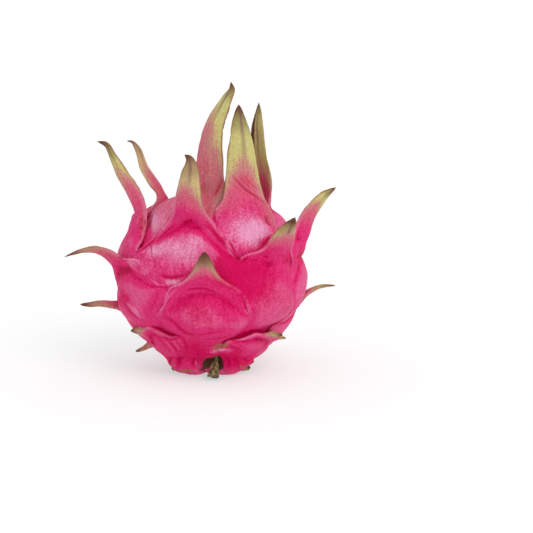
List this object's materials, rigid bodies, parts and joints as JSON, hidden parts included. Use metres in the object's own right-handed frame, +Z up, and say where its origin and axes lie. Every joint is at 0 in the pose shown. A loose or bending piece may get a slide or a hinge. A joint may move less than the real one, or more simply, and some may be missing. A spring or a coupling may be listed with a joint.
{
  "type": "dragon fruit",
  "caption": "Whole red-skinned pitaya fruit: a round fleshy rind covered in overlapping scales that end in long free tapering tips, standing on the lobes round its cut stem.",
  "frame": {"origin": "Middle of the flat spot that the fruit stands on, at table level.", "axes": "+Z is up, from the stem end to the tips of the crown. -Y is the front, which the stem's cut end leans towards. +X is its right side."},
  "size_m": [0.132, 0.1267, 0.143],
  "materials": {
    "peel": "waxy, fleshy rind: rose to crimson, with green and brown tips on its scales",
    "stem": "dry, ribbed, khaki to brown, cut end"
  },
  "bodies": {
    "root": {"fruit": "peel", "stem_stub": "stem"}
  },
  "joints": []
}
